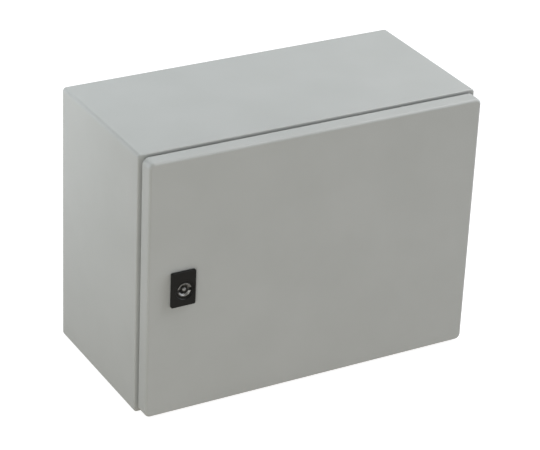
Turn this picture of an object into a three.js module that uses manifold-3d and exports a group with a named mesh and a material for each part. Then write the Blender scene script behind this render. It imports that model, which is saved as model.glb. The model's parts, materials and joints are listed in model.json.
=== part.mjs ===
// Wall-mounted sheet-steel switchboard cabinet, 400 x 300 x 200 mm: a welded body with a rain
// gutter round its front opening, a mounting plate on four studs, a gland plate in the floor, and
// a foam-sealed door on two concealed hinges with a double-bit quarter-turn lock.
//
// The cabinet is drawn as it is seen from the front: x to the right, y up, and z out of the wall
// towards the front, with z = 0 on the wall. The whole group is then turned so that +Z is up.

import * as THREE from 'three';
import { mergeVertices } from 'three/addons/utils/BufferGeometryUtils.js';
import Module from 'manifold-3d';

const wasm = await Module();
wasm.setup();

// ---------------------------------------------------------------- driving dimensions (mm)

const GAP = 0.3; // left between neighbouring pieces that touch
const BITE = 1; // how far a cutting or joining shape runs past the face it meets

const BODY = {
  width: 400,
  height: 300,
  depth: 180, // wall to front lip
  sheet: 1.2,
  corner: 4, // outer radius where two walls meet
  bend: 1.5, // outer radius where a wall folds into the front lip
  openingWidth: 356,
  openingHeight: 256,
  upstand: 14, // height of the gutter edge above the front lip
};

const DOOR = {
  width: 393,
  height: 295,
  front: 200, // wall to door face
  rim: 17, // depth of the folded rim
  sheet: 1.2,
  corner: 6.5,
  bend: 3,
};

const BACK = { sheet: 1.5, holeRadius: 4.25, holeX: 175, holeY: 125 };

const PLATE = {
  width: 344,
  height: 244,
  sheet: 2,
  front: 20, // wall to the plate's front face
  fold: 12, // depth of the folded side edges
  chamfer: 15,
  studX: 150,
  studY: 110,
  seat: 10.5, // radius of the pressed seat round each stud
  seatDepth: 0.6,
};

const GLAND = {
  width: 270,
  depth: 120,
  sheet: 1.5,
  seal: 2.7, // thickness of the foam under the plate
  openingWidth: 240,
  openingDepth: 90,
  openingCorner: 8,
  centre: 95, // wall to the middle of the opening
  press: 1, // how far the plate's middle is pressed down into the opening
  pressInset: 1, // edge of the opening to edge of the pressed part
  studX: 127.5,
  studZ: 52.5,
};

const SEAL = { width: 10, top: 4.2 }; // foam strip inside the door

const HINGE = {
  x: 191.5,
  z: 190.5,
  height: 95, // above and below the middle of the cabinet
  length: 50,
  barrel: 3.2, // radius of every knuckle
  pin: 2,
  middleEar: 10, // half height of the fixed knuckle
  earStart: 10.5,
  earEnd: 21,
  screwSpread: 18, // screws above and below the middle of the leaf
  screwX: 182.7,
};

const LOCK = {
  x: -155.6,
  y: -1.4,
  bezelWidth: 28,
  bezelHeight: 40,
  bezelX: -1.25, // middle of the bezel, measured from the lock's axis
  bezelY: 1.5,
  bezelFront: 203.7,
  edge: 0.8, // chamfer round the bezel
  recess: 10.8, // radius of the round recess
  neck: 10.3, // radius of the threaded neck
  neckEnd: 181,
  barrel: 7.8,
  barrelFront: 203,
  shaft: 7, // radius of the barrel's rear part
  step: 190, // wall to the barrel's shoulder
  square: 8, // side of the square that drives the cam
  camFront: 177.4,
  camSheet: 3,
  camReach: 36,
  camWidth: 14,
};

const THREAD = { m4: 2, m5: 2.5, m6: 3, m8: 4 }; // radius of each thread
const ROUND = { limit: 6, small: 12, large: 24 }; // sides of a round below and above the radius limit

// ---------------------------------------------------------------- finishes

const finish = (color, roughness, metalness) => ({ color, roughness, metalness });
const PAINT = finish(0xbabcb7, 0.55, 0.0);
const ZINC = finish(0xb4b8ba, 0.4, 0.9);
const SATIN = finish(0xc4c3bf, 0.32, 1.0);
const BLACK = finish(0x1d1d1b, 0.45, 0.0);
const FOAM = finish(0x2c2c2b, 0.95, 0.0);
const GREY_PLASTIC = finish(0x8d908e, 0.6, 0.0);

// ---------------------------------------------------------------- solids

// A closed three.js geometry as a solid that can be joined and cut.
function solid(geometry) {
  const bare = geometry.clone();
  bare.deleteAttribute('normal');
  bare.deleteAttribute('uv');
  const merged = mergeVertices(bare, 1e-4);
  return new wasm.Manifold(new wasm.Mesh({
    numProp: 3,
    vertProperties: new Float32Array(merged.attributes.position.array),
    triVerts: new Uint32Array(merged.index.array),
  }));
}

// A joined or cut solid as a flat-shaded three.js geometry.
function geometryOf(shape) {
  const { vertProperties, triVerts } = shape.getMesh();
  const indexed = new THREE.BufferGeometry();
  indexed.setAttribute('position', new THREE.BufferAttribute(vertProperties, 3));
  indexed.setIndex(new THREE.BufferAttribute(triVerts, 1));
  const flat = indexed.toNonIndexed();
  flat.computeVertexNormals();
  return flat;
}

const join = (first, ...rest) => rest.reduce((sum, next) => sum.add(next), first);
const cut = (first, ...rest) => rest.reduce((left, next) => left.subtract(next), first);

// A box between two corners on each axis.
function block([left, right], [bottom, top], [back, front]) {
  const geometry = new THREE.BoxGeometry(right - left, top - bottom, front - back);
  geometry.translate((left + right) / 2, (bottom + top) / 2, (back + front) / 2);
  return solid(geometry);
}

const sidesOf = (radius) => (radius > ROUND.limit ? ROUND.large : ROUND.small);

// A cylinder along z.
function rod(radius, [back, front], [x, y] = [0, 0]) {
  const geometry = new THREE.CylinderGeometry(radius, radius, front - back, sidesOf(radius));
  geometry.rotateX(Math.PI / 2);
  geometry.translate(x, y, (back + front) / 2);
  return solid(geometry);
}

// A cylinder along y.
function post(radius, [bottom, top], [x, z] = [0, 0]) {
  const geometry = new THREE.CylinderGeometry(radius, radius, top - bottom, sidesOf(radius));
  geometry.translate(x, (bottom + top) / 2, z);
  return solid(geometry);
}

function roundedRectangle(width, height, radius) {
  const x = width / 2;
  const y = height / 2;
  const shape = new THREE.Shape();
  shape.absarc(x - radius, y - radius, radius, 0, Math.PI / 2);
  shape.absarc(radius - x, y - radius, radius, Math.PI / 2, Math.PI);
  shape.absarc(radius - x, radius - y, radius, Math.PI, 1.5 * Math.PI);
  shape.absarc(x - radius, radius - y, radius, 1.5 * Math.PI, 2 * Math.PI);
  return shape;
}

// An outline in x and y, pushed out along z.
function slab(shape, [back, front], sides = 3) {
  const geometry = new THREE.ExtrudeGeometry(shape, {
    depth: front - back,
    bevelEnabled: false,
    curveSegments: sides,
  });
  geometry.translate(0, 0, back);
  return solid(geometry);
}

// An outline whose front edge is rounded or chamfered, cut flat at the back.
function dome(shape, [back, front], radius, steps = 3) {
  const geometry = new THREE.ExtrudeGeometry(shape, {
    depth: front - back - radius,
    bevelEnabled: true,
    bevelThickness: radius,
    bevelSize: radius,
    bevelOffset: -radius,
    bevelSegments: steps,
    curveSegments: 3,
  });
  geometry.translate(0, 0, back);
  const reach = 2 * BODY.width;
  return cut(solid(geometry), block([-reach, reach], [-reach, reach], [back - reach, back]));
}

// A flat ring between two rounded rectangles.
function frame([width, height, radius], border, [back, front]) {
  const inner = roundedRectangle(width - 2 * border, height - 2 * border, Math.max(radius - border, 1));
  return cut(
    slab(roundedRectangle(width, height, radius), [back, front]),
    slab(inner, [back - BITE, front + BITE]),
  );
}

// A six-sided prism along z, measured across its flats.
function hexagon(acrossFlats, [back, front]) {
  const radius = acrossFlats / Math.sqrt(3);
  const geometry = new THREE.CylinderGeometry(radius, radius, front - back, 6);
  geometry.rotateX(Math.PI / 2);
  geometry.translate(0, 0, (back + front) / 2);
  return solid(geometry);
}

// ---------------------------------------------------------------- scene

const cabinet = new THREE.Group();
const enclosure = new THREE.Group();
cabinet.add(enclosure);
cabinet.rotation.x = Math.PI / 2;

// A group that turns about the point (x, y, z); what it holds keeps its places in the cabinet.
function turningGroup(parent, x, y, z) {
  const pivot = new THREE.Group();
  const contents = new THREE.Group();
  pivot.position.set(x, y, z);
  contents.position.set(-x, -y, -z);
  pivot.add(contents);
  parent.add(pivot);
  return contents;
}

const door = turningGroup(enclosure, HINGE.x, 0, HINGE.z);
const lock = turningGroup(door, LOCK.x, LOCK.y, DOOR.front);

// Adds one named piece, placed and turned within its group.
function addPiece(parent, name, shape, look, place = [0, 0, 0], turn = [0, 0, 0]) {
  const mesh = new THREE.Mesh(geometryOf(shape), new THREE.MeshStandardMaterial(look));
  mesh.name = name;
  mesh.position.set(...place);
  mesh.rotation.set(...turn);
  parent.add(mesh);
}

const inside = BODY.height / 2 - BODY.sheet; // middle of the cabinet to the floor's inner face
const lipBack = BODY.depth - BODY.sheet;
const doorBack = DOOR.front - DOOR.sheet; // inner face of the door's skin
const UPWARD = [-Math.PI / 2, 0, 0]; // turns a piece drawn along z to stand along y

// ---------------------------------------------------------------- body

// Four walls folded from one sheet, with the front lip and its upstanding gutter edge.
function bodyWrap() {
  const { width, height, depth, sheet, corner, bend, upstand } = BODY;
  const outer = dome(roundedRectangle(width, height, corner), [0, depth], bend);
  const hollow = dome(
    roundedRectangle(width - 2 * sheet, height - 2 * sheet, corner - sheet),
    [-BITE, lipBack],
    bend - sheet,
  );
  const openingCorner = 3;
  const opening = roundedRectangle(BODY.openingWidth, BODY.openingHeight, openingCorner);
  const gutterEdge = roundedRectangle(
    BODY.openingWidth + 2 * sheet,
    BODY.openingHeight + 2 * sheet,
    openingCorner + sheet,
  );
  const cableOpening = new THREE.ExtrudeGeometry(
    roundedRectangle(GLAND.openingWidth, GLAND.openingDepth, GLAND.openingCorner),
    { depth: sheet + 2 * BITE, bevelEnabled: false, curveSegments: 3 },
  );
  cableOpening.rotateX(-Math.PI / 2);
  cableOpening.translate(0, -height / 2 - BITE, GLAND.centre);
  const screwHoles = hingeScrewPlaces().map(
    (place) => rod(THREAD.m4 + GAP, [lipBack - BITE, depth + BITE], place),
  );
  return cut(
    join(cut(outer, hollow), slab(gutterEdge, [lipBack, depth + upstand])),
    slab(opening, [lipBack - bend, depth + upstand + BITE]),
    solid(cableOpening),
    ...screwHoles,
  );
}

function hingeScrewPlaces() {
  const heights = [HINGE.height, -HINGE.height];
  return heights.flatMap((middle) => [HINGE.screwSpread, -HINGE.screwSpread].map(
    (offset) => [HINGE.screwX, middle + offset],
  ));
}

// The four corners of a rectangle about the middle: upper right, upper left, lower left, lower right.
function corners(x, y) {
  return [[x, y], [-x, y], [-x, -y], [x, -y]];
}

function backPanel() {
  const side = BODY.sheet + GAP;
  const outline = roundedRectangle(BODY.width - 2 * side, BODY.height - 2 * side, BODY.corner - side);
  const holes = corners(BACK.holeX, BACK.holeY).map(
    (place) => rod(BACK.holeRadius, [-BITE, BACK.sheet + BITE], place),
  );
  return cut(slab(outline, [0, BACK.sheet]), ...holes);
}

// A plug that closes a wall-fixing hole from the inside.
function wallPlug() {
  const head = { radius: 7, thickness: 1.8 };
  const headBack = BACK.sheet + GAP;
  const stemGap = 0.2;
  return join(
    rod(BACK.holeRadius - GAP, [stemGap, headBack + head.thickness / 2]),
    rod(head.radius, [headBack, headBack + head.thickness]),
  );
}

const seatFront = PLATE.front - PLATE.seatDepth;
const seatBack = seatFront - PLATE.sheet;

// Galvanised plate with chamfered corners, its two side edges folded back, and a shallow seat
// pressed round each stud.
function mountingPlate() {
  const { width, height, sheet, front, fold, chamfer, seat } = PLATE;
  const x = width / 2;
  const y = height / 2;
  const outline = new THREE.Shape([
    [x, y - chamfer], [x - chamfer, y], [chamfer - x, y], [-x, y - chamfer],
    [-x, chamfer - y], [chamfer - x, -y], [x - chamfer, -y], [x, chamfer - y],
  ].map(([px, py]) => new THREE.Vector2(px, py)));
  const foldSpan = [chamfer - y, y - chamfer];
  const foldDepth = [front - fold, front - sheet / 2];
  const places = corners(PLATE.studX, PLATE.studY);
  return cut(
    join(
      slab(outline, [front - sheet, front]),
      block([x - sheet, x], foldSpan, foldDepth),
      block([-x, sheet - x], foldSpan, foldDepth),
      ...places.map((place) => rod(seat + sheet, [seatBack, front - sheet / 2], place)),
    ),
    ...places.map((place) => rod(seat, [seatFront, front + BITE], place)),
    ...places.map((place) => rod(THREAD.m8 + 2 * GAP, [0, front + BITE], place)),
  );
}

// A shouldered stud welded to the back panel; the plate rests on the shoulder.
function plateStud() {
  const shoulder = 6;
  const tip = 34;
  const shoulderEnd = seatBack - GAP;
  return join(rod(shoulder, [BACK.sheet + GAP, shoulderEnd]), rod(THREAD.m8, [shoulderEnd - BITE, tip]));
}

// A hexagon nut along z, with a flange under it where one is wanted.
function nut(thread, acrossFlats, height, flange = 0) {
  const flangeHeight = 1.6;
  const body = hexagon(acrossFlats, [0, height]);
  const whole = flange ? join(body, rod(flange, [0, flangeHeight])) : body;
  return cut(whole, rod(thread + GAP, [-BITE, height + BITE]));
}

// A plain stud with a flat weld base.
function weldStud(thread, base, length) {
  const baseHeight = 1;
  return join(rod(base, [0, baseHeight]), rod(thread, [0, length]));
}

const washer = (thread, outer, thickness) => cut(
  rod(outer, [0, thickness]),
  rod(thread + GAP, [-BITE, thickness + BITE]),
);

addPiece(enclosure, 'body_wrap', bodyWrap(), PAINT);
addPiece(enclosure, 'back_panel', backPanel(), PAINT);
addPiece(enclosure, 'mounting_plate', mountingPlate(), ZINC);

corners(BACK.holeX, BACK.holeY).forEach(([x, y], index) => {
  addPiece(enclosure, `wall_plug_${index + 1}`, wallPlug(), GREY_PLASTIC, [x, y, 0]);
});

const M8_NUT = { flats: 13, height: 6.5, flanged: 8, flange: 8.6 };
const M6_NUT = { flats: 10, height: 5 };

corners(PLATE.studX, PLATE.studY).forEach(([x, y], index) => {
  addPiece(enclosure, `plate_stud_${index + 1}`, plateStud(), ZINC, [x, y, 0]);
  const flangeNut = nut(THREAD.m8, M8_NUT.flats, M8_NUT.flanged, M8_NUT.flange);
  addPiece(enclosure, `plate_nut_${index + 1}`, flangeNut, ZINC, [x, y, seatFront + GAP]);
});

// ---------------------------------------------------------------- gland plate in the floor

// The six fixings, measured from the middle of the cable opening.
const glandPlaces = [-1, 0, 1].flatMap((column) => [-1, 1].map(
  (row) => [column * GLAND.studX, row * GLAND.studZ],
));

// A flat plate whose middle is pressed down a little, to stand proud of the seal round it.
function glandPlate() {
  const corner = 4;
  const { width, depth, sheet, openingWidth, openingDepth, openingCorner, press, pressInset } = GLAND;
  const clearance = THREAD.m6 + 2 * GAP;
  const holes = glandPlaces.map((place) => rod(clearance, [-BITE, sheet + BITE], place));
  const pressed = (inset, span) => slab(
    roundedRectangle(openingWidth - 2 * inset, openingDepth - 2 * inset, openingCorner - inset),
    span,
  );
  const flat = slab(roundedRectangle(width, depth, corner), [0, sheet]);
  const hollow = pressed(pressInset + sheet, [sheet - press, sheet + BITE]);
  return cut(join(flat, pressed(pressInset, [-press, sheet / 2])), hollow, ...holes);
}

function glandGasket() {
  const corner = 4;
  const border = (GLAND.width - GLAND.openingWidth) / 2 - GAP;
  const holes = glandPlaces.map((place) => rod(THREAD.m6 + 2 * GAP, [-BITE, GLAND.seal + BITE], place));
  return cut(frame([GLAND.width, GLAND.depth, corner], border, [0, GLAND.seal]), ...holes);
}

const glandFloor = GAP - inside;
const glandTop = glandFloor + GLAND.seal + GAP;
addPiece(enclosure, 'gland_gasket', glandGasket(), FOAM, [0, glandFloor, GLAND.centre], UPWARD);
addPiece(enclosure, 'gland_plate', glandPlate(), ZINC, [0, glandTop, GLAND.centre], UPWARD);

glandPlaces.forEach(([x, z], index) => {
  const studLength = 13;
  const place = [x, glandFloor, GLAND.centre + z];
  const nutPlace = [x, glandTop + GLAND.sheet + GAP, GLAND.centre + z];
  addPiece(enclosure, `gland_stud_${index + 1}`, rod(THREAD.m6, [0, studLength]), ZINC, place, UPWARD);
  const glandNut = nut(THREAD.m6, M6_NUT.flats, M6_NUT.height);
  addPiece(enclosure, `gland_nut_${index + 1}`, glandNut, ZINC, nutPlace, UPWARD);
});

// ---------------------------------------------------------------- earth studs

const EARTH = { x: 183, y: -60, base: 6, length: 20, washer: 8, washerSheet: 1.6, seat: 1 };
const earthBack = BACK.sheet + GAP;
const earthSeat = earthBack + EARTH.seat + GAP;
const earthNutBack = earthSeat + EARTH.washerSheet + GAP;
const earthStud = weldStud(THREAD.m8, EARTH.base, EARTH.length);
const earthWasher = washer(THREAD.m8, EARTH.washer, EARTH.washerSheet);
const earthNut = nut(THREAD.m8, M8_NUT.flats, M8_NUT.height);
addPiece(enclosure, 'earth_stud_body', earthStud, ZINC, [EARTH.x, EARTH.y, earthBack]);
addPiece(enclosure, 'earth_washer_body', earthWasher, ZINC, [EARTH.x, EARTH.y, earthSeat]);
addPiece(enclosure, 'earth_nut_body', earthNut, ZINC, [EARTH.x, EARTH.y, earthNutBack]);

// ---------------------------------------------------------------- hinges

const leafSheet = 2.5;
const neckSheet = 2.4;
const gutterOuter = BODY.openingWidth / 2 + BODY.sheet;
const leafLeft = gutterOuter + GAP;

// The fixed half: a flange on the lip, a neck beside the gutter edge, and an arm over to the pin.
function hingeLeaf() {
  const half = HINGE.length / 2;
  const leafBack = BODY.depth + GAP;
  const flangeRight = 185.7;
  const middle = [-HINGE.middleEar, HINGE.middleEar];
  const armBack = HINGE.z + BITE;
  const neckFront = BODY.depth + BODY.upstand;
  const screwHoles = [HINGE.screwSpread, -HINGE.screwSpread].map(
    (y) => rod(THREAD.m4 + GAP, [leafBack - BITE, leafBack + leafSheet + BITE], [HINGE.screwX, y]),
  );
  return cut(
    join(
      block([leafLeft, flangeRight], [-half, half], [leafBack, leafBack + leafSheet]),
      block([leafLeft, leafLeft + neckSheet], middle, [leafBack, neckFront]),
      block([leafLeft, HINGE.x], middle, [armBack, neckFront]),
      post(HINGE.barrel, middle, [HINGE.x, HINGE.z]),
    ),
    post(HINGE.pin + GAP, [-half, half], [HINGE.x, HINGE.z]),
    ...screwHoles,
  );
}

// The half welded inside the door: a base and two ears that hold the ends of the pin.
function hingeBracket() {
  const half = HINGE.length / 2;
  const baseSheet = 2.1;
  const baseFront = doorBack - GAP;
  const baseSides = [185, 193.7];
  const ears = [1, -1].flatMap((side) => {
    const span = [HINGE.earStart * side, HINGE.earEnd * side].sort((a, b) => a - b);
    const web = [HINGE.z, baseFront - BITE];
    return [
      post(HINGE.barrel, span, [HINGE.x, HINGE.z]),
      block([HINGE.x - HINGE.barrel, HINGE.x + HINGE.barrel], span, web),
    ];
  });
  return cut(
    join(block(baseSides, [-half, half], [baseFront - baseSheet, baseFront]), ...ears),
    post(HINGE.pin + GAP, [-half, half], [HINGE.x, HINGE.z]),
  );
}

function hingePin() {
  const head = { radius: 2.9, height: 1.4 };
  const earTop = HINGE.earEnd + GAP;
  return join(
    post(HINGE.pin, [-earTop - head.height, earTop + head.height / 2]),
    post(head.radius, [earTop, earTop + head.height]),
  );
}

// A pan-head screw along z, its head behind the lip.
function hingeScrew() {
  const head = { radius: 3.6, height: 2.4 };
  const seat = lipBack - GAP;
  const tip = BODY.depth + GAP + leafSheet;
  return join(
    rod(head.radius, [seat - head.height, seat]),
    rod(THREAD.m4, [seat - head.height / 2, tip]),
  );
}

[['upper', HINGE.height], ['lower', -HINGE.height]].forEach(([name, y]) => {
  addPiece(enclosure, `hinge_leaf_${name}`, hingeLeaf(), ZINC, [0, y, 0]);
  addPiece(enclosure, `hinge_pin_${name}`, hingePin(), SATIN, [HINGE.x, y, HINGE.z]);
  addPiece(door, `hinge_bracket_${name}`, hingeBracket(), ZINC, [0, y, 0]);
});

hingeScrewPlaces().forEach(([x, y], index) => {
  addPiece(enclosure, `hinge_screw_${index + 1}`, hingeScrew(), ZINC, [x, y, 0]);
});

// ---------------------------------------------------------------- door

// A pan with its four rims folded back and its corners welded.
function doorPanel() {
  const { width, height, front, rim, sheet, corner, bend } = DOOR;
  const outer = dome(roundedRectangle(width, height, corner), [front - rim, front], bend);
  const hollow = dome(
    roundedRectangle(width - 2 * sheet, height - 2 * sheet, corner - sheet),
    [front - rim - BITE, doorBack],
    bend - sheet,
  );
  const lockHole = rod(LOCK.neck + GAP, [doorBack - BITE, front + BITE], [LOCK.x, LOCK.y]);
  return cut(outer, hollow, lockHole);
}

// The foam loop that the gutter edge presses into.
function doorGasket() {
  const middleWidth = BODY.openingWidth + BODY.sheet;
  const middleHeight = BODY.openingHeight + BODY.sheet;
  const corner = 8;
  const foamFront = doorBack - GAP;
  return frame(
    [middleWidth + SEAL.width, middleHeight + SEAL.width, corner],
    SEAL.width,
    [foamFront - SEAL.top, foamFront],
  );
}

addPiece(door, 'door_panel', doorPanel(), PAINT);
addPiece(door, 'door_gasket', doorGasket(), FOAM);

const DOOR_EARTH = { x: 160, y: -110, base: 4.5, length: 15, seat: 1 };
const doorStudPlace = [DOOR_EARTH.x, DOOR_EARTH.y, doorBack - GAP];
const doorNutPlace = [DOOR_EARTH.x, DOOR_EARTH.y, doorBack - 2 * GAP - DOOR_EARTH.seat];
const INWARD = [Math.PI, 0, 0]; // turns a piece drawn along z to point at the wall
const doorStud = weldStud(THREAD.m6, DOOR_EARTH.base, DOOR_EARTH.length);
addPiece(door, 'earth_stud_door', doorStud, ZINC, doorStudPlace, INWARD);
addPiece(door, 'earth_nut_door', nut(THREAD.m6, M6_NUT.flats, M6_NUT.height), ZINC, doorNutPlace, INWARD);

// ---------------------------------------------------------------- lock, drawn about its own axis

const bezelBack = DOOR.front + GAP;
const sealSheet = 0.7;
const sealInset = 1; // edge of the bezel to edge of its seal
const barrelBore = LOCK.barrel + GAP;
const shaftBore = LOCK.shaft + GAP;

// The black bezel and its threaded neck, moulded in one.
function lockHousing() {
  const { bezelWidth, bezelHeight, bezelX, bezelY, bezelFront, edge } = LOCK;
  const corner = 1.4;
  const recessDepth = 1.2;
  const bezel = dome(roundedRectangle(bezelWidth, bezelHeight, corner), [bezelBack, bezelFront], edge, 1);
  const pocketEdge = sealInset - GAP;
  const pocket = slab(
    roundedRectangle(bezelWidth - 2 * pocketEdge, bezelHeight - 2 * pocketEdge, corner),
    [bezelBack - BITE, bezelBack + sealSheet + GAP],
  );
  return cut(
    join(
      cut(bezel, pocket).translate([bezelX, bezelY, 0]),
      rod(LOCK.neck, [LOCK.neckEnd, bezelBack + 2 * BITE]),
    ),
    rod(LOCK.recess, [bezelFront - recessDepth, bezelFront + BITE]),
    rod(barrelBore, [LOCK.step - GAP, bezelFront + BITE]),
    rod(shaftBore, [LOCK.neckEnd - BITE, bezelFront]),
  );
}

function lockSeal() {
  const corner = 1.2;
  const pad = slab(
    roundedRectangle(LOCK.bezelWidth - 2 * sealInset, LOCK.bezelHeight - 2 * sealInset, corner),
    [bezelBack, bezelBack + sealSheet],
  );
  return cut(
    pad.translate([LOCK.bezelX, LOCK.bezelY, 0]),
    rod(LOCK.neck + GAP, [bezelBack - BITE, bezelBack + sealSheet + BITE]),
  );
}

// Keyway side out: a ring with two slots and a centre pin, and a square that drives the cam.
function lockBarrel() {
  const keyway = { radius: 5.2, depth: 9, pin: 2.4, slotWidth: 4, slotDepth: 4 };
  const front = LOCK.barrelFront;
  const shaftEnd = LOCK.camFront + GAP;
  const halfSquare = LOCK.square / 2;
  const square = [-halfSquare, halfSquare];
  const halfSlot = keyway.slotWidth / 2;
  const ring = cut(
    rod(LOCK.barrel, [LOCK.step, front]),
    rod(keyway.radius, [front - keyway.depth, front + BITE]),
    block(
      [-LOCK.barrel - BITE, LOCK.barrel + BITE],
      [-halfSlot, halfSlot],
      [front - keyway.slotDepth, front + BITE],
    ),
  );
  const screwBore = { radius: THREAD.m5 + GAP, end: LOCK.camFront + 9 };
  return cut(
    join(
      ring,
      rod(keyway.pin, [front - keyway.depth - BITE, front]),
      rod(LOCK.shaft, [shaftEnd, LOCK.step + BITE]),
      block(square, square, [LOCK.camFront - LOCK.camSheet + GAP, shaftEnd + BITE]),
    ),
    rod(screwBore.radius, [0, screwBore.end]),
  );
}

// The tongue that turns behind the front lip; it hangs down while the lock is open.
function lockCam() {
  const hub = 11;
  const back = LOCK.camFront - LOCK.camSheet;
  const halfHole = LOCK.square / 2 + GAP;
  const halfWidth = LOCK.camWidth / 2;
  return cut(
    join(
      rod(hub, [back, LOCK.camFront]),
      block([-halfWidth, halfWidth], [halfWidth - LOCK.camReach, 0], [back, LOCK.camFront]),
      rod(halfWidth, [back, LOCK.camFront], [0, halfWidth - LOCK.camReach]),
    ),
    block([-halfHole, halfHole], [-halfHole, halfHole], [back - BITE, LOCK.camFront + BITE]),
  );
}

function camScrew(headFront) {
  const head = { flats: 8, height: 3.5 };
  const tip = LOCK.camFront + 7;
  return join(
    hexagon(head.flats, [headFront - head.height, headFront]),
    rod(THREAD.m5, [headFront - head.height / 2, tip]),
  );
}

const lockPlace = [LOCK.x, LOCK.y, 0];
const lockNutFlats = 27;
const lockNutHeight = 5;
const camWasher = { outer: 9, sheet: 1.2 };
const washerBack = LOCK.camFront - LOCK.camSheet - GAP - camWasher.sheet;
const lockNutBack = doorBack - GAP - lockNutHeight;
const lockNut = nut(LOCK.neck, lockNutFlats, lockNutHeight);
const camWasherRing = washer(THREAD.m5, camWasher.outer, camWasher.sheet);
addPiece(door, 'lock_housing', lockHousing(), BLACK, lockPlace);
addPiece(door, 'lock_seal', lockSeal(), FOAM, lockPlace);
addPiece(door, 'lock_nut', lockNut, ZINC, [LOCK.x, LOCK.y, lockNutBack]);
addPiece(lock, 'lock_barrel', lockBarrel(), SATIN, lockPlace);
addPiece(lock, 'lock_cam', lockCam(), ZINC, lockPlace);
addPiece(lock, 'cam_washer', camWasherRing, ZINC, [LOCK.x, LOCK.y, washerBack]);
addPiece(lock, 'cam_screw', camScrew(washerBack - GAP), ZINC, lockPlace);

export default cabinet;
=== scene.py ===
"""Looks of the switchboard cabinet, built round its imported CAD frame.

The cabinet's back lies in the plane y = 0 and its front faces -Y. Places and overall sizes come from
the frame, in metres. A piece is drawn in millimetres in its own axes, with z the way it faces, and
is then put in place, rides on its node's body and takes its finish from the record's slot.
"""

import json
import math

import bmesh
import bpy
from mathutils import Matrix, Vector

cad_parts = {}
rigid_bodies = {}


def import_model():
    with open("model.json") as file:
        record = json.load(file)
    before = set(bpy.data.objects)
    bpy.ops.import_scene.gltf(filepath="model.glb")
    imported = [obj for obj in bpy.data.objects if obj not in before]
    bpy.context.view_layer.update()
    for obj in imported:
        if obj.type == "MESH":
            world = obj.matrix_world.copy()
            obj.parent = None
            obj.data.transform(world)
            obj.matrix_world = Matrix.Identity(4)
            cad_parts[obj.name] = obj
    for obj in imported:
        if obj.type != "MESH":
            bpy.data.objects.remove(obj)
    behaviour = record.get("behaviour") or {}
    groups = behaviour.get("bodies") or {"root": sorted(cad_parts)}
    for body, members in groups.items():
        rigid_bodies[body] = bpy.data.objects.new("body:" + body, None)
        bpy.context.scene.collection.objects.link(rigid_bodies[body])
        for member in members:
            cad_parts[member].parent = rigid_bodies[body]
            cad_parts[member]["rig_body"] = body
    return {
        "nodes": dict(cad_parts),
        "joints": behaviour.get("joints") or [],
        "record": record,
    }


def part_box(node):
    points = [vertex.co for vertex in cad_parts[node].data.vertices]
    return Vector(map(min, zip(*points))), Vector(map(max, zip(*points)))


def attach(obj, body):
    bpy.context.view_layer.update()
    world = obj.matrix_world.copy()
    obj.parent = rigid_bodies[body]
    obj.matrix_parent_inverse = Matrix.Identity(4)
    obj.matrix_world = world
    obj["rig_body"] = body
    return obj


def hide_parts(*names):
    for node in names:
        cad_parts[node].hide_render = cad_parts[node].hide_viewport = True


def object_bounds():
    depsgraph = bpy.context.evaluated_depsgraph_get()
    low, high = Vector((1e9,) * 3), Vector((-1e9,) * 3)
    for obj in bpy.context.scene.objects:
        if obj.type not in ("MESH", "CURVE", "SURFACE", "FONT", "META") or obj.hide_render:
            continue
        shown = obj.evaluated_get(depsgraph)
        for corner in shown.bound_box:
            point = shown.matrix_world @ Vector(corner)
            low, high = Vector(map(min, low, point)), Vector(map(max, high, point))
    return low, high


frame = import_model()
cad_low, cad_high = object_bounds()

MM = 0.001
SLOT = {row["node"]: row["material_slot"] for row in frame["record"]["subparts"]}
JOINT = {joint["name"]: Vector(joint["pos_m"]) for joint in frame["joints"]}


# ---------------------------------------------------------------- camera, light and floor

CAMERA = {
    "place": (-1.1184, -2.0263, 1.1480),
    "azimuth": -30.173,  # degrees; the camera stands to the left of the front
    "elevation": 27.448,
    "roll": 2.627,
    "lens": 153.714,
}
SKY = {"strength": 0.200, "colour": (1, 1, 1)}  # even light from all round
BACKDROP = 1.0  # what the camera sees behind the cabinet
LIGHTS = [  # name, place, target, size, watts, colour
    ("right_top_light", (1.6, -0.3, 1.9), (0, -0.1, 0.0), (1.4, 1.4), 45.7, (0.980, 0.978, 1.000)),
    ("right_light", (2.2, -0.6, 0.8), (0, -0.1, 0.0), (1.5, 1.5), 22.4, (0.775, 0.855, 1.000)),
    ("front_left_light", (-1.7, -1.9, 0.3), (0, -0.1, 0.0), (1.2, 1.2), 19.9, (0.975, 1.000, 0.993)),
    ("left_back_light", (-0.55, 0.17, 0.25), (-0.2, -0.02, 0.1), (0.35, 0.35), 1.45, (0.85, 0.905, 0.98)),
    ("back_top_light", (0.3, 1.7, 1.7), (0, -0.1, 0.0), (1.6, 1.6), 10.6, (0.856, 0.968, 1.000)),
]
FLOOR = {"half": 6.0, "tone": 0.30, "glow": (0.277, 0.243, 0.200), "seen": (0.90, 0.90, 0.90)}


def make_camera():
    data = bpy.data.cameras.new("camera")
    data.lens = CAMERA["lens"]
    data.sensor_width = 36
    data.clip_start = 0.05
    data.clip_end = 50
    camera = bpy.data.objects.new("camera", data)
    turn = math.radians(CAMERA["azimuth"])
    tilt = math.radians(CAMERA["elevation"])
    look = Matrix.Rotation(turn, 4, "Z") @ Matrix.Rotation(math.pi / 2 - tilt, 4, "X")
    roll = Matrix.Rotation(math.radians(CAMERA["roll"]), 4, "Z")
    camera.matrix_world = Matrix.Translation(CAMERA["place"]) @ look @ roll
    bpy.context.scene.collection.objects.link(camera)
    bpy.context.scene.camera = camera


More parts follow.
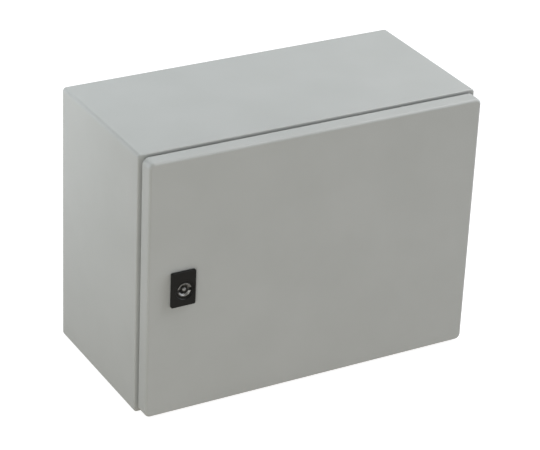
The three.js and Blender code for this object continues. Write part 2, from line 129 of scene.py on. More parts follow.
def area_light(name, place, target, size, power, colour):
    """A soft rectangular light that points from place to target."""
    data = bpy.data.lights.new(name, "AREA")
    data.shape = "RECTANGLE"
    data.size, data.size_y = size
    data.energy = power
    data.color = colour
    light = bpy.data.objects.new(name, data)
    aim = (Vector(target) - Vector(place)).to_track_quat("-Z", "Y")
    light.matrix_world = Matrix.Translation(place) @ aim.to_matrix().to_4x4()
    bpy.context.scene.collection.objects.link(light)


def make_world():
    """Even light from all round, and a white backdrop for the camera alone."""
    world = bpy.data.worlds.new("studio")
    world.use_nodes = True
    bpy.context.scene.world = world
    nodes, links = world.node_tree.nodes, world.node_tree.links
    nodes.clear()
    output = nodes.new("ShaderNodeOutputWorld")
    mix = nodes.new("ShaderNodeMixShader")
    sky = nodes.new("ShaderNodeBackground")
    sky.inputs["Strength"].default_value = SKY["strength"]
    sky.inputs["Color"].default_value = (*SKY["colour"], 1)
    backdrop = nodes.new("ShaderNodeBackground")
    backdrop.inputs["Color"].default_value = (1, 1, 1, 1)
    backdrop.inputs["Strength"].default_value = BACKDROP
    path = nodes.new("ShaderNodeLightPath")
    links.new(path.outputs["Is Camera Ray"], mix.inputs["Fac"])
    links.new(sky.outputs[0], mix.inputs[1])
    links.new(backdrop.outputs[0], mix.inputs[2])
    links.new(mix.outputs[0], output.inputs["Surface"])


def make_floor():
    """A pale floor that the camera sees almost as white as the backdrop."""
    half = FLOOR["half"]
    z = cad_low.z
    corners = [(-half, -half, z), (half, -half, z), (half, half, z), (-half, half, z)]
    floor = mesh_object("floor", corners, [(0, 1, 2, 3)])
    paint = bpy.data.materials.new("floor_white")
    paint.use_nodes = True
    nodes, links = paint.node_tree.nodes, paint.node_tree.links
    nodes.clear()
    output = nodes.new("ShaderNodeOutputMaterial")
    add = nodes.new("ShaderNodeAddShader")
    diffuse = nodes.new("ShaderNodeBsdfDiffuse")
    diffuse.inputs["Color"].default_value = (FLOOR["tone"], FLOOR["tone"], FLOOR["tone"], 1)
    glow = nodes.new("ShaderNodeEmission")
    tone = nodes.new("ShaderNodeMix")
    tone.data_type = "RGBA"
    tone.inputs["A"].default_value = (*FLOOR["glow"], 1)
    tone.inputs["B"].default_value = (*FLOOR["seen"], 1)
    path = nodes.new("ShaderNodeLightPath")
    links.new(path.outputs["Is Camera Ray"], tone.inputs["Factor"])
    links.new(tone.outputs["Result"], glow.inputs["Color"])
    links.new(diffuse.outputs[0], add.inputs[0])
    links.new(glow.outputs[0], add.inputs[1])
    links.new(add.outputs[0], output.inputs["Surface"])
    floor.data.materials.append(paint)


# ---------------------------------------------------------------- meshes, in millimetres


def mesh_object(name, points, faces):
    mesh = bpy.data.meshes.new(name)
    mesh.from_pydata([tuple(p) for p in points], [], faces)
    mesh.update()
    obj = bpy.data.objects.new(name, mesh)
    bpy.context.scene.collection.objects.link(obj)
    return obj


def loft(name, rings, closed=False):
    """Joins rings of equally many points; a closed loft joins its last ring to its first, and an
    open one is capped."""
    count = len(rings[0])
    points = [p for ring in rings for p in ring]
    faces = []
    spans = len(rings) if closed else len(rings) - 1
    for i in range(spans):
        a, b = i * count, (i + 1) % len(rings) * count
        for j in range(count):
            k = (j + 1) % count
            faces.append((a + j, a + k, b + k, b + j))
    if not closed:
        faces.append(tuple(range(count)))
        faces.append(tuple(range((len(rings) - 1) * count, len(rings) * count)))
    obj = mesh_object(name, points, faces)
    work = bmesh.new()
    work.from_mesh(obj.data)
    bmesh.ops.recalc_face_normals(work, faces=work.faces)
    work.to_mesh(obj.data)
    work.free()
    return obj


def rounded_ring(half_x, half_y, radius, z, centre=(0, 0), steps=8):
    """A rounded rectangle at the height z."""
    points = []
    for quarter, (side_x, side_y) in enumerate(((1, 1), (-1, 1), (-1, -1), (1, -1))):
        x = centre[0] + side_x * (half_x - radius)
        y = centre[1] + side_y * (half_y - radius)
        for i in range(steps + 1):
            angle = (quarter + i / steps) * math.pi / 2
            points.append(Vector((x + radius * math.cos(angle), y + radius * math.sin(angle), z)))
    return points


def arc(centre, radius, start, end, steps):
    """Points on an arc in a plane; angles in degrees."""
    points = []
    for i in range(steps + 1):
        angle = math.radians(start + (end - start) * i / steps)
        points.append((centre[0] + radius * math.cos(angle), centre[1] + radius * math.sin(angle)))
    return points


SIDES = 48  # of a round piece, where nothing else is said


def round_rings(profile, sides=SIDES):
    return [
        [Vector((r * math.cos(a), r * math.sin(a), z)) for a in round_angles(sides)]
        for r, z in profile
    ]


def turned(name, profile, closed=False, sides=SIDES):
    """A round piece about z from (radius, height) points."""
    return loft(name, round_rings(profile, sides), closed)


def round_angles(sides):
    return [2 * math.pi * i / sides for i in range(sides)]


def prism(name, outline, low, high):
    """An outline in x and y, pushed from one height to another."""
    return loft(name, [[Vector((x, y, z)) for x, y in outline] for z in (low, high)])


def bar(name, outline, low, high):
    """An outline in x and z, pushed along y."""
    return loft(name, [[Vector((x, y, z)) for x, z in outline] for y in (low, high)])


def rectangle(left, right, low, high):
    return [(left, low), (right, low), (right, high), (left, high)]


def boolean(obj, other, operation):
    """Cuts or joins another mesh and keeps the result as plain mesh."""
    change = obj.modifiers.new("change", "BOOLEAN")
    change.operation = operation
    change.solver = "EXACT"
    change.object = other
    graph = bpy.context.evaluated_depsgraph_get()
    graph.update()
    result = bpy.data.meshes.new_from_object(obj.evaluated_get(graph))
    obj.modifiers.remove(change)
    obj.data = result
    bpy.data.objects.remove(other)
    return obj


def cut(obj, *cutters):
    for cutter in cutters:
        boolean(obj, cutter, "DIFFERENCE")
    return obj


def join(obj, *others):
    for other in others:
        boolean(obj, other, "UNION")
    return obj


def grouped(name, *parts):
    """Several meshes as one object."""
    work = bmesh.new()
    for part in parts:
        work.from_mesh(part.data)
        bpy.data.objects.remove(part)
    obj = mesh_object(name, [], [])
    work.to_mesh(obj.data)
    work.free()
    return obj


def moved(obj, x, y):
    obj.data.transform(Matrix.Translation((x, y, 0)))
    return obj


def hole(radius, low, high, place=(0, 0), sides=SIDES):
    return moved(turned("cutter", [(radius, low), (radius, high)], sides=sides), *place)


# ---------------------------------------------------------------- placing and finishing

FACING = {  # turns a piece drawn along z
    "front": Matrix(((1, 0, 0), (0, 0, -1), (0, 1, 0))),
    "wall": Matrix(((-1, 0, 0), (0, 0, 1), (0, 1, 0))),
    "up": Matrix.Identity(3),
}
FRONT_ORIGIN = Vector((0, 0, 0))  # the middle of the back


def size_of(node):
    """A node's size in millimetres: width, depth and height."""
    low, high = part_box(node)
    return (high - low) / MM


def foot_of(node, facing):
    """The middle of the face that a node stands on."""
    low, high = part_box(node)
    middle = (low + high) / 2
    if facing == "front":
        middle.y = high.y
    elif facing == "wall":
        middle.y = low.y
    else:
        middle.z = low.z
    return middle


def finish(obj, node, facing="front", origin=None, bevel=None, smooth=35):
    """Puts a piece in place, softens its edges and says which CAD node it stands for."""
    place = foot_of(node, facing) if origin is None else origin
    turn = FACING[facing].to_4x4()
    obj.data.transform(Matrix.Translation(place) @ turn @ Matrix.Scale(MM, 4))
    obj.name = node + "_look"
    mesh = obj.data
    mesh.shade_smooth()
    if bevel:
        change = obj.modifiers.new("soft_edges", "BEVEL")
        change.width = bevel * MM
        change.segments = 2
        change.limit_method = "ANGLE"
        change.angle_limit = math.radians(smooth)
    else:
        mesh.set_sharp_from_angle(angle=math.radians(smooth))
    normals = obj.modifiers.new("flat_faces", "WEIGHTED_NORMAL")
    normals.keep_sharp = True
    mesh.materials.clear()
    mesh.materials.append(MATERIALS[SLOT[node]])
    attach(obj, frame["nodes"][node]["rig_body"])
    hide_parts(node)
    return obj


# ---------------------------------------------------------------- materials


class Shader:
    """A principled material whose inputs can be fed by nodes."""

    def __init__(self, name, **values):
        self.material = bpy.data.materials.new(name)
        self.material.use_nodes = True
        self.nodes = self.material.node_tree.nodes
        self.links = self.material.node_tree.links
        self.surface = self.nodes["Principled BSDF"]
        for key, value in values.items():
            self.surface.inputs[key.replace("_", " ")].default_value = value
        self.place = self.nodes.new("ShaderNodeTexCoord").outputs["Object"]

    def node(self, kind, feeds=None, **values):
        made = self.nodes.new("ShaderNode" + kind)
        for key, value in values.items():
            if hasattr(made, key):
                setattr(made, key, value)
            else:
                made.inputs[key.replace("_", " ")].default_value = value
        for socket, source in (feeds or {}).items():
            self.links.new(source, made.inputs[socket])
        return made

    def noise(self, scale, detail):
        made = self.node("TexNoise", {"Vector": self.place}, Scale=scale, Detail=detail, Roughness=0.5)
        return made.outputs["Fac"]

    def cells(self, scale, output="Distance"):
        made = self.node("TexVoronoi", {"Vector": self.place}, feature="F1", Scale=scale)
        return made.outputs[output]

    def ramp(self, source, low, high, from_low=0.0, from_high=1.0):
        """Maps a value to the range low to high."""
        made = self.node("MapRange", {"Value": source})
        made.inputs["From Min"].default_value = from_low
        made.inputs["From Max"].default_value = from_high
        made.inputs["To Min"].default_value = low
        made.inputs["To Max"].default_value = high
        return made.outputs["Result"]

    def blend(self, factor, dark, light):
        """A colour between two, by a factor."""
        made = self.nodes.new("ShaderNodeMix")
        made.data_type = "RGBA"
        self.links.new(factor, made.inputs["Factor"])
        made.inputs["A"].default_value = (*dark, 1)
        made.inputs["B"].default_value = (*light, 1)
        return made.outputs["Result"]

    def feed(self, socket, source):
        self.links.new(source, self.surface.inputs[socket])

    def relief(self, *layers):
        """Stacks bumps, each (height, depth in metres)."""
        normal = None
        for height, depth in layers:
            bump = self.node("Bump", {"Height": height}, Strength=1.0, Distance=depth)
            if normal:
                self.links.new(normal, bump.inputs["Normal"])
            normal = bump.outputs["Normal"]
        self.feed("Normal", normal)


def powder_coat():
    """Light grey powder coat: fine grain over a slow orange peel."""
    s = Shader("powder_coat")
    grain = s.noise(1500, 2)
    peel = s.noise(420, 1)
    mottle = s.ramp(s.noise(14, 3), 0, 1, 0.3, 0.7)
    s.feed("Base Color", s.blend(mottle, (0.478, 0.487, 0.462), (0.502, 0.510, 0.486)))
    s.feed("Roughness", s.ramp(grain, 0.48, 0.62))
    s.relief((peel, 0.00006), (grain, 0.00003))
    return s.material


def black_plastic():
    """Glass-filled nylon with a fine moulded grain."""
    s = Shader("black_plastic", Specular_IOR_Level=0.28)
    grain = s.noise(3200, 2)
    s.feed("Base Color", s.blend(s.noise(90, 3), (0.0060, 0.0060, 0.0052), (0.0090, 0.0090, 0.0076)))
    s.feed("Roughness", s.ramp(grain, 0.38, 0.56))
    s.relief((grain, 0.00002))
    return s.material


def satin_metal():
    """Nickel-plated die casting, a little worn."""
    s = Shader("satin_metal", Metallic=1.0)
    grain = s.noise(2600, 2)
    s.feed("Base Color", s.blend(s.noise(300, 2), (0.30, 0.295, 0.28), (0.38, 0.375, 0.36)))
    s.feed("Roughness", s.ramp(grain, 0.46, 0.60))
    s.relief((grain, 0.000012))
    return s.material


def zinc_plate():
    """Bright zinc plate with a faint blue and straw cast in patches."""
    s = Shader("zinc_plate", Metallic=1.0)
    grain = s.noise(1800, 2)
    cast = s.ramp(s.noise(120, 3), 0, 1, 0.35, 0.65)
    s.feed("Base Color", s.blend(cast, (0.50, 0.53, 0.56), (0.66, 0.65, 0.60)))
    s.feed("Roughness", s.ramp(grain, 0.26, 0.42))
    s.relief((grain, 0.00001))
    return s.material


def galvanised_sheet():
    """Hot-dipped zinc sheet: soft spangles, each with its own tone and sheen."""
    s = Shader("galvanised_sheet", Metallic=1.0)
    spangle = s.cells(95, output="Color")
    parts = s.node("SeparateColor", {"Color": spangle}).outputs
    s.feed("Base Color", s.blend(parts["Red"], (0.50, 0.52, 0.535), (0.66, 0.675, 0.68)))
    s.feed("Roughness", s.ramp(parts["Green"], 0.34, 0.52))
    s.relief((s.noise(1200, 2), 0.00001))
    return s.material


def grey_plastic():
    s = Shader("grey_plastic")
    grain = s.noise(2400, 2)
    s.feed("Base Color", s.blend(s.noise(70, 2), (0.25, 0.26, 0.25), (0.29, 0.30, 0.29)))
    s.feed("Roughness", s.ramp(grain, 0.45, 0.6))
    s.relief((grain, 0.000015))
    return s.material


def foam_seal():
    """Poured polyurethane foam: a skin over fine cells."""
    s = Shader("foam_seal")
    cells = s.cells(1400)
    waves = s.noise(160, 2)
    s.feed("Base Color", s.blend(s.noise(60, 3), (0.022, 0.022, 0.022), (0.040, 0.040, 0.039)))
    s.feed("Roughness", s.ramp(cells, 0.8, 0.98))
    s.relief((waves, 0.0006), (cells, 0.0001))
    return s.material


def rubber_seal():
    s = Shader("rubber_seal")
    grain = s.noise(2000, 2)
    s.feed("Base Color", s.blend(s.noise(80, 2), (0.010, 0.010, 0.010), (0.018, 0.018, 0.018)))
    s.feed("Roughness", s.ramp(grain, 0.6, 0.75))
    s.relief((grain, 0.00002))
    return s.material


MATERIALS = {
    make.__name__: make()
    for make in (
        powder_coat, black_plastic, satin_metal, zinc_plate,
        galvanised_sheet, grey_plastic, foam_seal, rubber_seal,
    )
}


# ---------------------------------------------------------------- body

GAP = 0.3  # between neighbouring pieces
SHEET = 1.2
BODY_BEND = 1.5  # outer radius of the fold into the front lip
DOOR_BEND = 3.0
BEND_STEPS = 8
EDGE = 0.35  # paint rounds a cut edge by this much
REAR = 1.0  # outer edge at the back, ground after welding
BODY_CORNER = 4.0
DOOR_CORNER = 6.5
OPENING = {"half_x": 178, "half_y": 128, "corner": 3}
LOCK_NECK = 10.3
LOCK_BARREL = 7.8


def out_of_wall(node, side):
    """How far a node's back (0) or front (1) stands out of the wall, in millimetres."""
    low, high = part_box(node)
    return -(high, low)[side].y / MM


def make_body():
    width, depth, height = size_of("body_wrap")
    lip = out_of_wall("hinge_leaf_upper", 0) - GAP
    gutter = width / 2 - OPENING["half_x"] - SHEET  # outer wall to the outside of the gutter edge
    fold = 1.2
    root = (gutter - fold, lip + fold)
    section = arc((REAR, REAR), REAR, 270, 180, 3)
    section += arc((BODY_BEND, lip - BODY_BEND), BODY_BEND, 180, 90, BEND_STEPS)
    section += arc(root, fold, 270, 360, 4)
    section += arc((gutter + SHEET / 2, depth - SHEET / 2), SHEET / 2, 180, 0, 6)
    section += arc(root, fold + SHEET, 0, -90, 5)
    section += arc((BODY_BEND, lip - BODY_BEND), BODY_BEND - SHEET, 90, 180, BEND_STEPS)
    section += [(SHEET, EDGE), (SHEET - EDGE / 2, 0)]

    def corner(inset):
        if inset <= BODY_BEND:
            return BODY_CORNER - inset
        if inset > gutter:
            return OPENING["corner"] + gutter + SHEET - inset
        share = (inset - BODY_BEND) / (gutter - BODY_BEND)
        return (BODY_CORNER - BODY_BEND) * (1 - share) + (OPENING["corner"] + SHEET) * share

    rings = [
        rounded_ring(width / 2 - inset, height / 2 - inset, corner(inset), z)
        for inset, z in section
    ]
    body = loft("body", rings, closed=True)
    cable = foot_of("gland_plate", "up") / MM
    opening = rounded_ring(120, 45, 8, 0)
    deep = [
        [Vector((p.x, y, p.y - cable.y)) for p in opening]
        for y in (-height / 2 - 5, -height / 2 + 5)
    ]
    cut(body, loft("cutter", deep))
    return finish(body, "body_wrap", origin=FRONT_ORIGIN)


def make_back_panel():
    width, sheet, height = size_of("back_panel")
    corner = BODY_CORNER - SHEET - GAP
    wall_hole = 4.25  # radius, clear of an M8 screw
    rings = [
        rounded_ring(width / 2 - inset, height / 2 - inset, corner, z)
        for inset, z in ((EDGE, 0), (0, EDGE), (0, sheet - EDGE), (EDGE, sheet))
    ]
    plugs = [foot_of(f"wall_plug_{i}", "front") / MM for i in (1, 2, 3, 4)]
    panel = cut(loft("panel", rings), *(hole(wall_hole, -5, 5, (p.x, p.z)) for p in plugs))
    return finish(panel, "back_panel", origin=FRONT_ORIGIN, bevel=0.2)


def make_mounting_plate():
    """Galvanised sheet with chamfered corners, folded side edges and a pressed seat at each stud."""
    width, deep, height = size_of("mounting_plate")
    front = out_of_wall("mounting_plate", 1)
    sheet, chamfer, tuck, bend = 2.0, 15, 6, 3.0
    x, y = width / 2, height / 2
    straight = y - chamfer
    slot = x - tuck / 2  # the flat stops here, and the folds carry on
    right = [(x - chamfer, -y), (x, -straight), (slot, -straight)]
    right += [(px, -py) for px, py in reversed(right)]
    plate = prism("plate", right + [(-px, -py) for px, py in right], front - sheet, front)
    for side in (1, -1):
        outer = [(x - tuck, front)] + arc((x - bend, front - bend), bend, 90, 0, 5)
        outer += [(x, front - deep), (x - sheet, front - deep)]
        outer += arc((x - bend, front - bend), bend - sheet, 0, 90, 5) + [(x - tuck, front - sheet)]
        join(plate, bar("fold", [(side * px, pz) for px, pz in outer], -straight, straight))
    seat, press, stud_hole = 10.5, 0.6, 4.6
    studs = [foot_of(f"plate_stud_{i}", "front") / MM for i in (1, 2, 3, 4)]
    for stud in studs:
        place = (stud.x, stud.z)
        boss = turned("boss", [(seat + 1, front - sheet - press), (seat + 2, front - sheet + 0.3)])
        join(plate, moved(boss, *place))
        sink = turned("sink", [(seat - 0.6, front - press), (seat + 0.4, front + 0.2)])
        cut(plate, moved(sink, *place), hole(stud_hole, 0, front + 5, place))
    return finish(plate, "mounting_plate", origin=FRONT_ORIGIN, bevel=0.25)


def make_wall_plug(node):
    """A push-in plug: a hollow stem in the hole and a low domed head inside."""
    profile = [
        (2.6, 0.7), (2.8, 0), (3.75, 0), (3.95, 0.2), (3.95, 1.6), (6.8, 1.6),
        (7, 1.8), (7, 2.4), (6.4, 3.0), (4.6, 3.35), (0.4, 3.4),
    ]
    finish(turned("plug", profile), node)


# ---------------------------------------------------------------- door


def make_door():
    width, _, height = size_of("door_panel")
    back, face = out_of_wall("door_panel", 0), out_of_wall("door_panel", 1)
    fold = (DOOR_BEND, face - DOOR_BEND)
    section = arc(fold, DOOR_BEND - SHEET, 90, 180, BEND_STEPS)
    section += arc((SHEET - EDGE, back + EDGE), EDGE, 0, -90, 3)
    section += arc((EDGE, back + EDGE), EDGE, 270, 180, 3)
    section += arc(fold, DOOR_BEND, 180, 90, BEND_STEPS)
    rings = [
        rounded_ring(width / 2 - inset, height / 2 - inset, DOOR_CORNER - inset, z, steps=12)
        for inset, z in section
    ]
    axis = JOINT["lock_turn"] / MM
    opening = hole(LOCK_NECK + GAP, face - 5, face + 5, (axis.x, axis.z))
    finish(cut(loft("door", rings), opening), "door_panel", origin=FRONT_ORIGIN)


def foam_bead(node, corner, section, facing, origin=None):
    """A closed loop of foam; the section is (inset, height) points."""
    size = size_of(node)
    half_x = size.x / 2
    half_y = size.y / 2 if facing == "up" else size.z / 2
    rings = [
        rounded_ring(half_x - inset, half_y - inset, corner(inset), z, steps=10)
        for inset, z in section
    ]
    bead = finish(loft("bead", rings, closed=True), node, facing, origin, smooth=60)


def make_door_gasket():
    """Foam poured in a bead round the door."""
    root, top = out_of_wall("door_gasket", 1), out_of_wall("door_gasket", 0)
    width = 10
    section = [
        (width / 2 * (1 - math.cos(t)), root + (top - root) * math.sin(t) ** 0.7)
        for t in (math.pi * i / 14 for i in range(15))
    ]
    foam_bead("door_gasket", lambda inset: 8 - 0.7 * inset, section, "front", FRONT_ORIGIN)


# ---------------------------------------------------------------- fasteners


def hex_rings(flats, low, high, ends=(True, True)):
    """Rings of a hexagonal prism whose corners are turned off at the ends marked true."""
    sixth = math.pi / 3
    corner = flats / math.sqrt(3)
    face = 0.47 * flats
    depth = (corner - face) * math.tan(sixth / 2)
    steps = (0, 0.35, 0.7, 1)

    def ring(z, limit):
        points = []
        for a in round_angles(SIDES):
            radius = min(flats / 2 / math.cos((a + sixth / 2) % sixth - sixth / 2), limit)
            points.append(Vector((radius * math.cos(a), radius * math.sin(a), z)))
        return points

    rings = []
    if ends[0]:
        rings += [ring(low + depth * t, face + (corner - face) * t) for t in steps]
    else:
        rings += [ring(low, corner)]
    if ends[1]:
        rings += [ring(high - depth * t, face + (corner - face) * t) for t in reversed(steps)]
    else:
        rings += [ring(high, corner)]
    return rings


def thread_rings(radius, pitch, low, high, sides=24):
    """Rings of a screw thread with a chamfered tip."""
    steps = 6  # rings in one turn
    depth = 0.6 * pitch
    chamfer = 0.7 * pitch
    count = max(2, round((high - low) / pitch * steps))
    rings = []
    for i in range(count + 1):
        z = low + (high - low) * i / count
        limit = radius - max(0, chamfer - (high - z))
        ring = []
        for a in round_angles(sides):
            wave = abs(2 * ((z / pitch - a / (2 * math.pi)) % 1) - 1)
            r = min(radius - depth * wave, limit)
            ring.append(Vector((r * math.cos(a), r * math.sin(a), z)))
        rings.append(ring)
    return rings


def turned_over(rings):
    """Rings turned upside down, so that what ended at 0 starts there, and still run anticlockwise."""
    return [[Vector((p.x, -p.y, -p.z)) for p in ring[:1] + ring[:0:-1]] for ring in reversed(rings)]


def make_nut(node, flats, thread, facing="front", flange=0):
    """A chamfered hexagon nut, with a flange under it where one is wanted."""
    size = size_of(node)
    height = size.z if facing == "up" else size.y
    bore = thread + 0.12
    lead = 0.4
    if flange:
        foot = [(flange - 0.3, 0), (flange, 0.3), (flange, 0.9), (0.62 * flats, 1.9)]
        rings = round_rings(foot) + hex_rings(flats, 1.9, height, (False, True))
    else:
        rings = hex_rings(flats, 0, height)
    inside = [(bore + lead, height), (bore, height - lead), (bore, lead), (bore + lead, 0)]
    finish(loft("nut", rings + round_rings(inside), closed=True), node, facing)


def make_stud(node, thread, pitch, facing="front", base=(), base_height=0):
    """A threaded stud on a turned base."""
    size = size_of(node)
    length = size.z if facing == "up" else size.y
    rings = round_rings(base, 24) + thread_rings(thread, pitch, base_height, length)
    finish(loft("stud", rings), node, facing)


def make_washer(node, bore):
    size = size_of(node)
    outer, thickness, edge = size.x / 2, size.y, 0.2
    profile = [
        (bore, edge), (bore + edge, 0), (outer - edge, 0), (outer, edge), (outer, thickness - edge),
        (outer - edge, thickness), (bore + edge, thickness), (bore, thickness - edge),
    ]
    finish(turned("washer", profile, closed=True), node)


def make_fasteners():
    for i in (1, 2, 3, 4):
        shoulder = [(5.7, 0), (6, 0.3), (6, 15), (5.7, 15.3)]
        make_stud(f"plate_stud_{i}", 4, 1.25, base=shoulder, base_height=15.3)
        make_nut(f"plate_nut_{i}", 13, 4, flange=8.6)
        make_wall_plug(f"wall_plug_{i}")
    for i in range(1, 7):
        make_stud(f"gland_stud_{i}", 3, 1.0, "up")
        make_nut(f"gland_nut_{i}", 10, 3, "up")
    make_stud("earth_stud_body", 4, 1.25, base=[(5.6, 0), (6, 0.2), (6, 0.8), (5.6, 1)], base_height=1)
    make_washer("earth_washer_body", 4.3)
    make_nut("earth_nut_body", 13, 4)
    foot = [(4.2, 0), (4.5, 0.2), (4.5, 0.8), (4.1, 1)]
    make_stud("earth_stud_door", 3, 1.0, "wall", foot, 1)
    make_nut("earth_nut_door", 10, 3, "wall")


# ---------------------------------------------------------------- gland plate


def make_gland_plate():
    """Sheet whose middle is pressed down a millimetre, with a hole for each stud."""
    width, depth, _ = size_of("gland_plate")
    x, y = width / 2, depth / 2
    step, inner = 16, 17.4  # edge of the plate to the foot and the top of the pressed part
    stud_hole = 3.6
    profile = [
        (inner, 6, 0), (step + 0.3, 6.6, 0.3), (step - 0.3, 7, 1), (EDGE, 4, 1), (0, 4, 1 + EDGE),
        (0, 4, 2.5 - EDGE), (EDGE, 4, 2.5), (step, 7, 2.5), (step + 1.1, 6.4, 2.2),
        (inner + 0.8, 6, 1.5),
    ]
    plate = loft("plate", [rounded_ring(x - i, y - i, radius, z) for i, radius, z in profile])
    middle = foot_of("gland_plate", "up")
    for i in range(1, 7):
        place = (foot_of(f"gland_stud_{i}", "up") - middle) / MM
        cut(plate, hole(stud_hole, -2, 5, (place.x, place.y), 32))
    finish(plate, "gland_plate", "up")


def make_gland_gasket():
    border, thick, soft = 14.7, 2.7, 0.6
    section = arc((soft, soft), soft, 180, 270, 3) + arc((border - soft, soft), soft, 270, 360, 3)
    section += arc((border - soft, thick - soft), soft, 0, 90, 3)
    section += arc((soft, thick - soft), soft, 90, 180, 3)
    foam_bead("gland_gasket", lambda inset: 4 - 0.2 * inset, section, "up")


# ---------------------------------------------------------------- hinges


def circle(centre, radius, sides=32):
    return arc(centre, radius, 0, 360 * (1 - 1 / sides), sides - 1)


def make_hinge(level):
    low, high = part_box(f"hinge_leaf_{level}")
    middle = Vector((0, 0, (low.z + high.z) / 2))
    half = (high.z - low.z) / 2 / MM
    pivot = JOINT["door_swing"] / MM
    px, pz = pivot.x, -pivot.y
    left, back = low.x / MM, out_of_wall(f"hinge_leaf_{level}", 0)
    front = out_of_wall(f"hinge_leaf_{level}", 1)
    neck, sheet, knuckle, ear, pin = 2.4, 2.5, 3.2, 10, 2.15
    pin_hole = bar("cutter", circle((px, pz), pin), -2 * half, 2 * half)

    flange_x = (px - 5.8 - left) / 2
    rings = [rounded_ring(flange_x, half, 1.5, z, (left + flange_x, 0)) for z in (back, back + sheet)]
    turn_in = 2.0
    strip = [(left, back + 1), (left + neck, back + 1), (left + neck, pz + 1)]
    strip += arc((px, pz), knuckle, 162, 450, 22)
    strip += [(px, front)] + arc((left + turn_in, front - turn_in), turn_in, 90, 180, 4)
    leaf = join(loft("leaf", rings), bar("strip", strip, -ear, ear))
    screws = [foot_of(f"hinge_screw_{i}", "front") / MM for i in (1, 2, 3, 4)]
    for screw in screws:
        rise = screw.z - middle.z / MM
        if abs(rise) < half:
            cut(leaf, hole(2.1, back - 2, back + 5, (screw.x, rise), 32))
    cut(leaf, pin_hole)
    finish(leaf, f"hinge_leaf_{level}", origin=middle, bevel=0.25)

    node = f"hinge_bracket_{level}"
    low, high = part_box(node)
    base_front = out_of_wall(node, 1)
    left = low.x / MM
    base_x = (px + 2.2 - left) / 2
    centre = (left + base_x, 0)
    rings = [rounded_ring(base_x, half, 1.5, z, centre) for z in (base_front - 2.1, base_front)]
    bracket = loft("bracket", rings)
    web = [(px - knuckle, base_front - 1)] + arc((px, pz), knuckle, 180, 360, 16)
    web += [(px + knuckle, base_front - 1)]
    for span in ((10.5, 21), (-21, -10.5)):
        join(bracket, bar("ear", web, *span))
    cut(bracket, bar("cutter", circle((px, pz), pin), -2 * half, 2 * half))
    finish(bracket, node, origin=middle, bevel=0.25)

    length = size_of(f"hinge_pin_{level}").z
    profile = [(1.4, 0), (2, 0.6), (2, length - 1.4), (2.7, length - 1.4), (2.9, length - 1.2)]
    profile += [(2.9, length - 0.6), (2.4, length - 0.15), (1.4, length), (0.3, length)]
    finish(turned("pin", profile, sides=32), f"hinge_pin_{level}", "up")


def make_hinge_screw(node):
    """A pan-head screw whose cross recess faces the wall."""
    seat, length = 4.3, size_of(node).y
    head = [(3.6, seat), (3.6, seat + 0.9), (3.3, seat + 1.6), (2.4, length - 0.2), (0.4, length)]
    screw = loft("screw", turned_over(thread_rings(2, 0.7, -seat, 0)) + round_rings(head, 24))
    for outline in (rectangle(-2, 2, -0.4, 0.4), rectangle(-0.4, 0.4, -2, 2)):
        cut(screw, prism("cutter", outline, length - 1.4, length + 1))
    finish(screw, node, "wall")


# ---------------------------------------------------------------- lock


LOCK_AXIS = Vector((JOINT["lock_turn"].x, 0, JOINT["lock_turn"].z))


def make_lock_housing():
    """The bezel, with a round recess, and the threaded neck behind it."""
    low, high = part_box("lock_housing")
    x, y = (high.x - low.x) / 2 / MM, (high.z - low.z) / 2 / MM
    centre = ((low.x + high.x) / 2 / MM - LOCK_AXIS.x / MM, (low.z + high.z) / 2 / MM - LOCK_AXIS.z / MM)
    end, front = out_of_wall("lock_housing", 0), out_of_wall("lock_housing", 1)
    face = out_of_wall("lock_seal", 0)
    edge, bore = 0.8, LOCK_BARREL + GAP
    shaft_bore, shoulder = 7.3, 189.7  # the narrow rear of the bore, and where it ends
    profile = [(0.2, face), (0, face + 0.2)]
    profile += arc((edge, front - edge), edge, 180, 90, 4)
    bezel = loft("bezel", [rounded_ring(x - i, y - i, 1.6 - i, z, centre) for i, z in profile])
    recess = [(10.2, front - 1.2), (10.8, front - 0.2), (11.2, front + 0.4)]
    cut(bezel, turned("cutter", recess), hole(bore, face - 2, front + 2))
    neck = turned_over(thread_rings(LOCK_NECK, 1.5, -face - 0.5, -end, sides=SIDES))[::-1]
    neck += round_rings(
        [(shaft_bore, end), (shaft_bore, shoulder), (bore, shoulder), (bore, face + 0.5)]
    )
    housing = grouped("housing", bezel, loft("neck", neck, closed=True))
    finish(housing, "lock_housing", origin=LOCK_AXIS, bevel=0.15)


def make_lock_seal():
    low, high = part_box("lock_seal")
    x, y = (high.x - low.x) / 2 / MM, (high.z - low.z) / 2 / MM
    centre = ((low.x + high.x) / 2 / MM - LOCK_AXIS.x / MM, (low.z + high.z) / 2 / MM - LOCK_AXIS.z / MM)
    back, front = out_of_wall("lock_seal", 0), out_of_wall("lock_seal", 1)
    pad = loft("pad", [rounded_ring(x, y, 1.2, z, centre) for z in (back, front)])
    cut(pad, hole(LOCK_NECK + GAP, back - 2, front + 2))
    finish(pad, "lock_seal", origin=LOCK_AXIS, bevel=0.15)


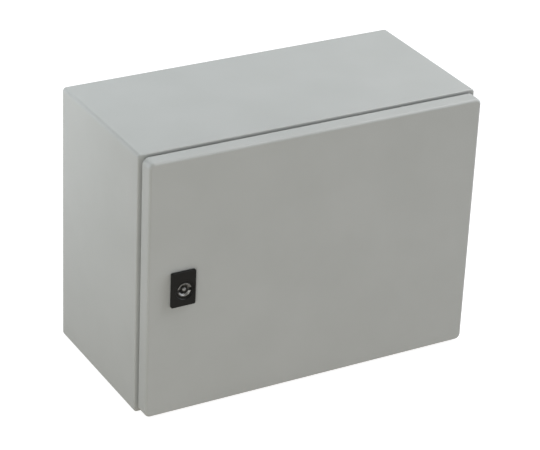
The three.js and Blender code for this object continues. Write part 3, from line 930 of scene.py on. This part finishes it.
def make_lock_barrel():
    """A ring with a countersunk keyway, two slots and a domed centre pin; behind it the shaft."""
    front, back = out_of_wall("lock_barrel", 1), out_of_wall("lock_barrel", 0)
    shaft_end, step = back + 3, 190
    outer = LOCK_BARREL
    profile = [
        (2.8, shaft_end), (6.7, shaft_end), (7, shaft_end + 0.3), (7, step), (outer - 0.3, step),
        (outer, step + 0.3), (outer, front - 0.6), (outer - 0.2, front - 0.2), (outer - 0.6, front),
        (6.9, front), (6.7, front - 0.1), (5.4, front - 1.4), (5.2, front - 1.7), (5.2, front - 9),
        (0.3, front - 9),
    ]
    ring = turned("ring", profile, sides=64)
    slot_reach, slot_half, slot_deep = 9.5, 2, 4
    slots = rectangle(-slot_reach, slot_reach, -slot_half, slot_half)
    cut(ring, prism("cutter", slots, front - slot_deep, front + 1))
    dome = [(2.4, front - 2.2), (2.2, front - 1.4), (1.7, front - 0.7), (1, front - 0.2), (0.3, front)]
    square = prism("square", rectangle(-4, 4, -4, 4), back, shaft_end + 0.5)
    barrel = grouped("barrel", ring, turned("pin", [(2.4, front - 9.2), *dome]), square)
    finish(barrel, "lock_barrel", origin=LOCK_AXIS, bevel=0.12)


def make_lock_cam():
    """A pressed steel tongue with a square hole."""
    back, front = out_of_wall("lock_cam", 0), out_of_wall("lock_cam", 1)
    hub, half, reach = 11, 7, 36
    start = math.degrees(math.asin(math.sqrt(1 - (half / hub) ** 2)))
    outline = arc((0, 0), hub, -start, 180 + start, 28) + arc((0, half - reach), half, 180, 360, 16)
    cam = prism("cam", outline, back, front)
    cut(cam, prism("cutter", rectangle(-4.3, 4.3, -4.3, 4.3), back - 2, front + 2))
    finish(cam, "lock_cam", origin=LOCK_AXIS, bevel=0.3)


def make_cam_screw():
    """A hexagon screw that holds the cam on its square."""
    length, head = size_of("cam_screw").y, 3.5
    rings = turned_over(thread_rings(2.5, 0.8, head - length, 0, sides=SIDES))
    rings += hex_rings(8, length - head, length, (False, True))
    finish(loft("screw", rings), "cam_screw", "wall")


# ---------------------------------------------------------------- build

make_world()
make_camera()
make_floor()
for light in LIGHTS:
    area_light(*light)

make_body()
make_back_panel()
make_mounting_plate()
make_gland_plate()
make_gland_gasket()
make_door()
make_door_gasket()
make_fasteners()
for level in ("upper", "lower"):
    make_hinge(level)
for index in (1, 2, 3, 4):
    make_hinge_screw(f"hinge_screw_{index}")
make_lock_housing()
make_lock_seal()
make_nut("lock_nut", 27, LOCK_NECK)
make_lock_barrel()
make_lock_cam()
make_washer("cam_washer", 2.8)
make_cam_screw()

bpy.context.scene.view_settings.view_transform = "Standard"
